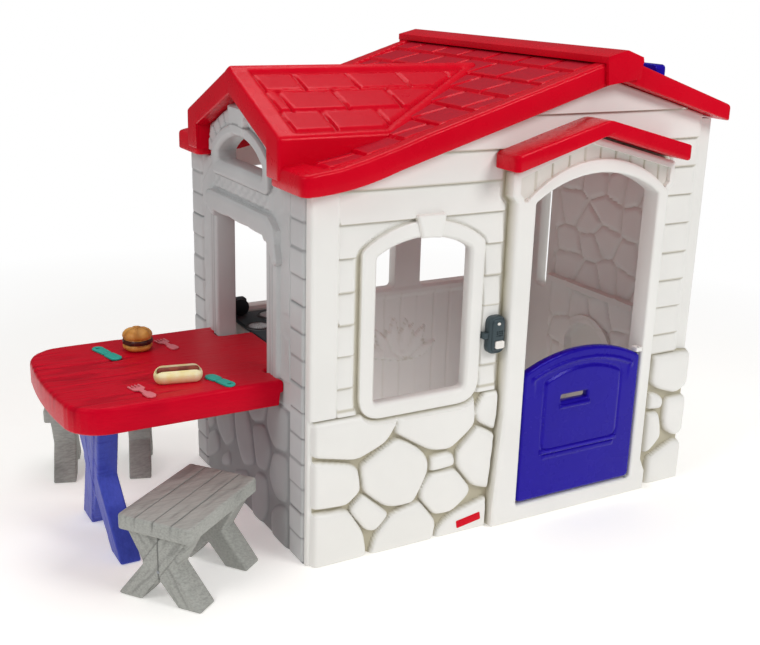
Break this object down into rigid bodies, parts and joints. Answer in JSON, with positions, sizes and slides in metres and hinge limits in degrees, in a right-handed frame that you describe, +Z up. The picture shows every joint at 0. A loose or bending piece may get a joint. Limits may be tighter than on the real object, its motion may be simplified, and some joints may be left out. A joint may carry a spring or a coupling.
{
  "type": "toy playhouse",
  "caption": "Moulded plastic playhouse for small children with gabled roof, half door, side table with loose benches and play picnic set.",
  "frame": {"origin": "floor level, under the middle of the whole set's box", "axes": "+Z up, front wall with the door faces -Y, picnic table stands at -X"},
  "size_m": [1.8244, 1.065, 1.257],
  "materials": {
    "wall_white": "moulded, satin",
    "wall_grey": "moulded, satin",
    "roof_red": "moulded, glossy with satin shingle faces",
    "panel_blue": "moulded, satin gloss",
    "bench_grey": "moulded wood grain, matt",
    "charcoal": "moulded, satin",
    "black_plastic": "moulded, satin",
    "button_white": "moulded, satin",
    "burner_silver": "silver plastic",
    "bun_tan": "moulded, satin",
    "bun_pale": "moulded, satin",
    "sausage_brown": "moulded, satin",
    "teal_plastic": "moulded, glossy",
    "pink_plastic": "moulded, glossy",
    "steel": "zinc plated"
  },
  "bodies": {
    "house": {"front_wall": "wall_white", "service_wall": "wall_grey", "back_wall": "wall_white", "right_wall": "wall_white", "roof_left_panel": "roof_red", "roof_right_panel": "roof_red", "ridge_cap": "roof_red", "chimney_top": "panel_blue", "door_hood": "roof_red", "door_upper_bracket": "wall_white", "door_lower_pin": "steel", "door_upper_pin": "steel", "doorbell_housing": "charcoal", "doorbell_battery_cover": "charcoal", "table_top": "roof_red", "table_leg": "panel_blue", "kitchen_shelf": "wall_white", "stove_top": "charcoal", "burner_front": "burner_silver", "burner_back": "burner_silver"},
    "door": {"half_door": "panel_blue"},
    "bell_button": {"doorbell_button": "button_white"},
    "knob": {"stove_knob": "black_plastic"},
    "front_bench": {"front_bench_seat": "bench_grey", "front_bench_left_trestle": "bench_grey", "front_bench_right_trestle": "bench_grey", "front_bench_left_screw": "steel", "front_bench_right_screw": "steel"},
    "rear_bench": {"rear_bench_seat": "bench_grey", "rear_bench_left_trestle": "bench_grey", "rear_bench_right_trestle": "bench_grey", "rear_bench_left_screw": "steel", "rear_bench_right_screw": "steel"},
    "burger_left": {"burger_left_half": "bun_tan"},
    "burger_right": {"burger_right_half": "bun_tan"},
    "hot_dog": {"hot_dog_bun": "bun_pale", "hot_dog_sausage": "sausage_brown"},
    "knife_one": {"knife_left": "teal_plastic"},
    "knife_two": {"knife_right": "teal_plastic"},
    "fork_one": {"fork_left": "pink_plastic"},
    "fork_two": {"fork_right": "pink_plastic"}
  },
  "joints": [
    {"name": "door_swing", "type": "hinge", "parent": "house", "child": "door", "pos_m": [0.63125, -0.4665, 0.2], "axis": [0, 0, 1], "range_deg": [0, 100]},
    {"name": "bell_press", "type": "slide", "parent": "house", "child": "bell_button", "axis": [0, 1, 0], "range_m": [0, 0.003], "stiffness_N_per_m": 300, "springref_m": -0.001},
    {"name": "knob_turn", "type": "hinge", "parent": "house", "child": "knob", "pos_m": [-0.26475, 0.2455, 0.4803], "axis": [0, -1, 0], "range_deg": [-135, 135]},
    {"name": "front_bench_pull", "type": "slide", "parent": "house", "child": "front_bench", "axis": [0, -1, 0], "range_m": [0, 0.3]},
    {"name": "rear_bench_pull", "type": "slide", "parent": "house", "child": "rear_bench", "axis": [0, 1, 0], "range_m": [0, 0.3]},
    {"name": "burger_left_lift", "type": "slide", "parent": "house", "child": "burger_left", "axis": [0, 0, 1], "range_m": [0, 0.12]},
    {"name": "burger_right_lift", "type": "slide", "parent": "house", "child": "burger_right", "axis": [0, 0, 1], "range_m": [0, 0.12]},
    {"name": "hot_dog_lift", "type": "slide", "parent": "house", "child": "hot_dog", "axis": [0, 0, 1], "range_m": [0, 0.12]},
    {"name": "knife_one_lift", "type": "slide", "parent": "house", "child": "knife_one", "axis": [0, 0, 1], "range_m": [0, 0.12]},
    {"name": "knife_two_lift", "type": "slide", "parent": "house", "child": "knife_two", "axis": [0, 0, 1], "range_m": [0, 0.12]},
    {"name": "fork_one_lift", "type": "slide", "parent": "house", "child": "fork_one", "axis": [0, 0, 1], "range_m": [0, 0.12]},
    {"name": "fork_two_lift", "type": "slide", "parent": "house", "child": "fork_two", "axis": [0, 0, 1], "range_m": [0, 0.12]}
  ]
}
